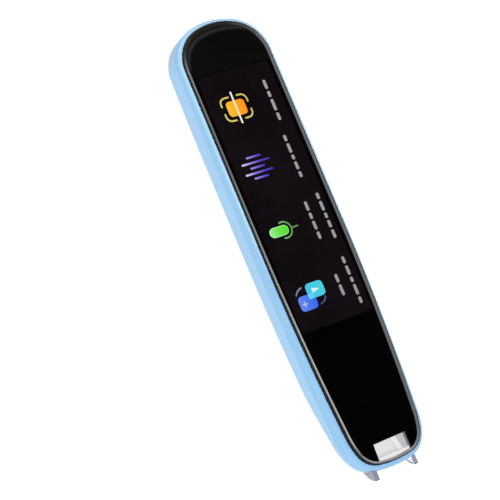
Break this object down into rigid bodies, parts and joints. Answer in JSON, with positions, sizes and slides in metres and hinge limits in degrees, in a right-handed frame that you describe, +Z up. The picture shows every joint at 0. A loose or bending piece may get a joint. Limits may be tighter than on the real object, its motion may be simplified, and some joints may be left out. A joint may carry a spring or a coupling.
{
  "type": "scanning pen",
  "caption": "Slim hand-held scanning pen with a long touch screen, bright bezel ring, clear sprung scanning nib, side power key and charging port.",
  "frame": {"origin": "on the flat back, in the plane the pen lies on, under the middle of the bezel outline", "axes": "+Z up out of the screen, +Y towards the tail with the charging port, -Y towards the scanning nib, +X to the right-hand side seen from the screen, where the power key is"},
  "size_m": [0.0338, 0.1516, 0.012],
  "materials": {
    "blue_shell": "satin sky-blue moulded plastic",
    "trim_chrome": "polished plated trim",
    "black_plastic": "fine matte moulded plastic",
    "screen_glass": "polished black cover glass with a clear window",
    "clear_plastic": "clear moulded plastic, polished",
    "white_liner": "white reflecting liner",
    "display": "display cell",
    "backlight": "backlight unit",
    "adhesive": "thin adhesive and foam",
    "clear_adhesive": "clear adhesive film",
    "flex_film": "amber polyimide film",
    "chassis": "die-cast light alloy",
    "steel": "plain steel",
    "spring_steel": "drawn wire",
    "board_green": "solder-masked board",
    "chip_black": "moulded chip package",
    "battery_foil": "pouch cell foil",
    "lead_red": "insulated lead",
    "speaker_black": "speaker box",
    "mesh_cloth": "acoustic mesh",
    "lens_glass": "coated lens",
    "led_white": "white light-emitting package",
    "connector_white": "moulded connector"
  },
  "bodies": {
    "pen": {"back_shell": "blue_shell", "front_frame": "blue_shell", "bezel_carrier": "black_plastic", "trim_ring": "trim_chrome", "cover_glass": "screen_glass", "glass_adhesive": "adhesive", "optical_adhesive": "clear_adhesive", "display_cell": "display", "backlight_unit": "backlight", "display_flex": "flex_film", "display_connector": "connector_white", "midframe": "chassis", "frame_screws": "steel", "main_board": "board_green", "board_screws": "steel", "processor": "chip_black", "memory_chip": "chip_black", "shield_can": "steel", "wifi_module": "steel", "power_chip": "chip_black", "antenna_strip": "flex_film", "usb_shell": "steel", "usb_tongue": "black_plastic", "battery": "battery_foil", "battery_pad": "adhesive", "battery_protection_board": "board_green", "battery_connector": "connector_white", "battery_leads": "lead_red", "speaker": "speaker_black", "speaker_gasket": "adhesive", "speaker_mesh": "mesh_cloth", "microphone": "steel", "power_switch": "steel", "trigger_board": "board_green", "trigger_switch": "chip_black", "camera_flex": "flex_film", "camera_board": "board_green", "image_sensor": "chip_black", "lens_holder": "black_plastic", "lens_barrel": "black_plastic", "lens": "lens_glass", "illumination_leds": "led_white", "chamber_liner": "white_liner", "window_gasket": "adhesive"},
    "nib": {"scan_nib": "clear_plastic", "nib_slider": "black_plastic", "trigger_plunger": "connector_white", "nib_springs": "spring_steel"},
    "key": {"power_key": "blue_shell", "power_plunger": "black_plastic"}
  },
  "joints": [
    {"name": "nib_press", "type": "slide", "parent": "pen", "child": "nib", "axis": [0, 1, 0], "range_m": [0, 0.0006], "stiffness_N_per_m": 500, "springref_m": -0.0008, "deforming": ["nib_springs"]},
    {"name": "power_key_press", "type": "slide", "parent": "pen", "child": "key", "axis": [-1, 0, 0], "range_m": [0, 0.0003], "stiffness_N_per_m": 3000, "springref_m": -0.0002}
  ]
}
